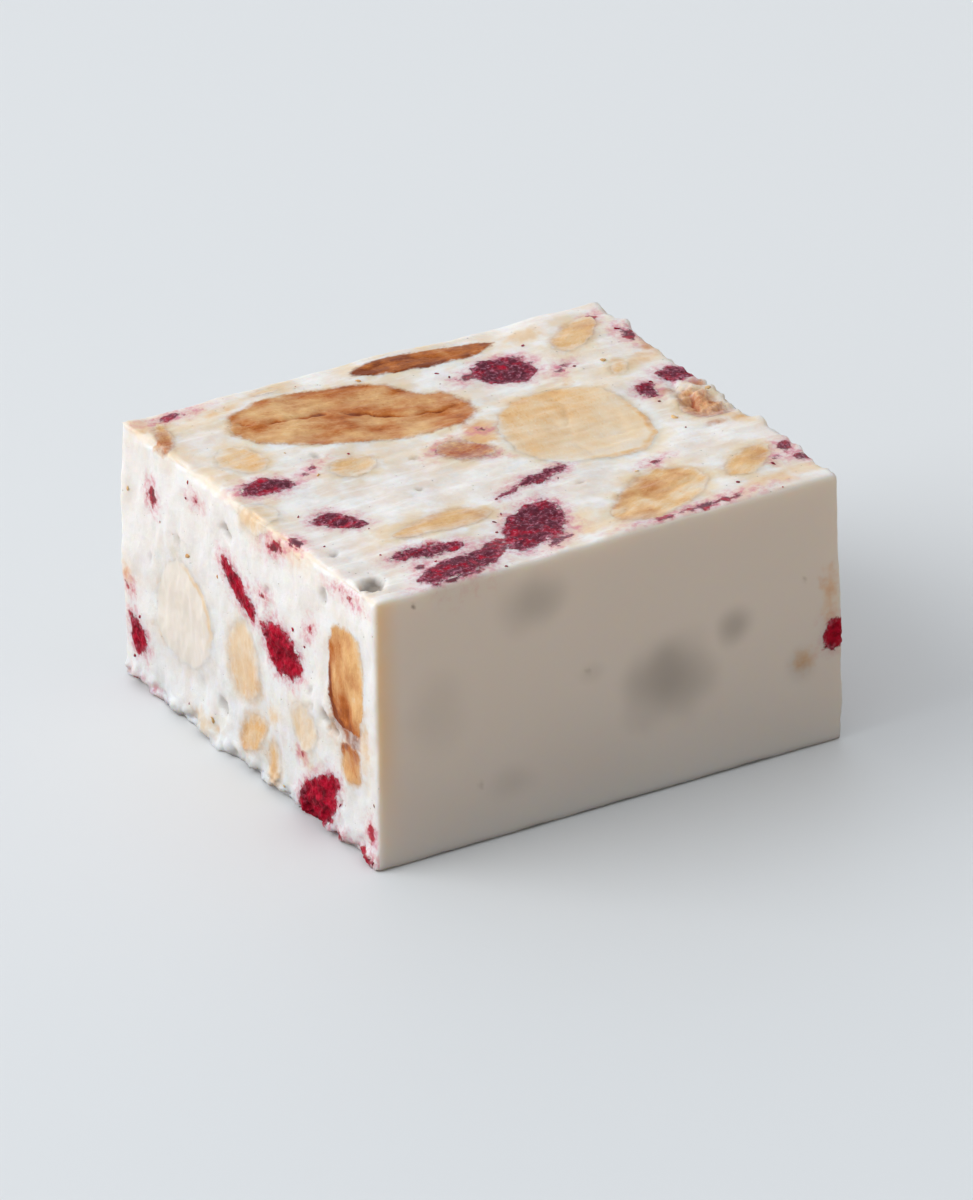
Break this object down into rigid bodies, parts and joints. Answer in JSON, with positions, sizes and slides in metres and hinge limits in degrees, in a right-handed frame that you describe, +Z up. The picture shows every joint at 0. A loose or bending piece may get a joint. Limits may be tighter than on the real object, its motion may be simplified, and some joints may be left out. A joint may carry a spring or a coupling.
{
  "type": "nougat piece",
  "caption": "Block of soft white nougat with toasted nut pieces and dried red berries showing flush in its cut faces and smooth moulded sides.",
  "frame": {"origin": "middle of the underside", "axes": "+X along the longer side, +Y from the smooth moulded side that is seen to the smooth side behind it, +Z up through the two large cut faces"},
  "size_m": [0.0407, 0.0376, 0.0219],
  "materials": {
    "nougat": "soft white set foam, satin on the moulded sides and matt with fine bubbles on the cut faces",
    "nut_toasted": "toasted nut in section, tan to light brown, matt",
    "nut_pale": "pale nut in section, cream to light tan, matt",
    "nut_caramel": "dark roasted nut in section, caramel brown, slightly glossy",
    "berry": "freeze-dried red berry, crimson to maroon, grainy and matt"
  },
  "bodies": {
    "root": {"nougat_body": "nougat", "nut_top_large": "nut_toasted", "nut_top_caramel": "nut_caramel", "nut_top_pale": "nut_pale", "nut_top_front": "nut_toasted", "nut_top_front_small": "nut_pale", "nut_top_back_corner": "nut_pale", "nut_top_back_small": "nut_toasted", "nut_top_left_edge": "nut_toasted", "nut_top_left": "nut_pale", "nut_top_middle_small": "nut_pale", "nut_top_middle_red": "nut_caramel", "nut_top_streak": "nut_toasted", "nut_top_right_edge": "nut_pale", "nut_top_right_small": "nut_pale", "nut_top_left_rim": "nut_pale", "berry_top_back": "berry", "berry_top_left": "berry", "berry_top_hook": "berry", "berry_top_sliver": "berry", "berry_top_small": "berry", "berry_top_strip": "berry", "berry_top_front": "berry", "berry_top_front_low": "berry", "berry_top_right_edge": "berry", "nut_left_front": "nut_toasted", "nut_left_front_chip": "nut_toasted", "nut_left_round": "nut_pale", "nut_left_middle": "nut_pale", "nut_left_low": "nut_toasted", "nut_left_foot": "nut_pale", "nut_left_small": "nut_pale", "berry_left_long": "berry", "berry_left_middle": "berry", "berry_left_back": "berry", "berry_left_low": "berry", "berry_front_edge": "berry", "nut_right_long": "nut_toasted", "nut_right_round": "nut_pale", "nut_right_back": "nut_toasted", "nut_right_upper": "nut_pale", "berry_right_middle": "berry", "berry_right_low": "berry", "berry_right_back": "berry", "nut_under_large": "nut_toasted", "nut_under_pale": "nut_pale", "nut_under_front": "nut_pale", "nut_under_back": "nut_toasted", "nut_under_corner": "nut_pale", "berry_under_middle": "berry", "berry_under_back": "berry", "berry_under_corner": "berry"}
  },
  "joints": []
}
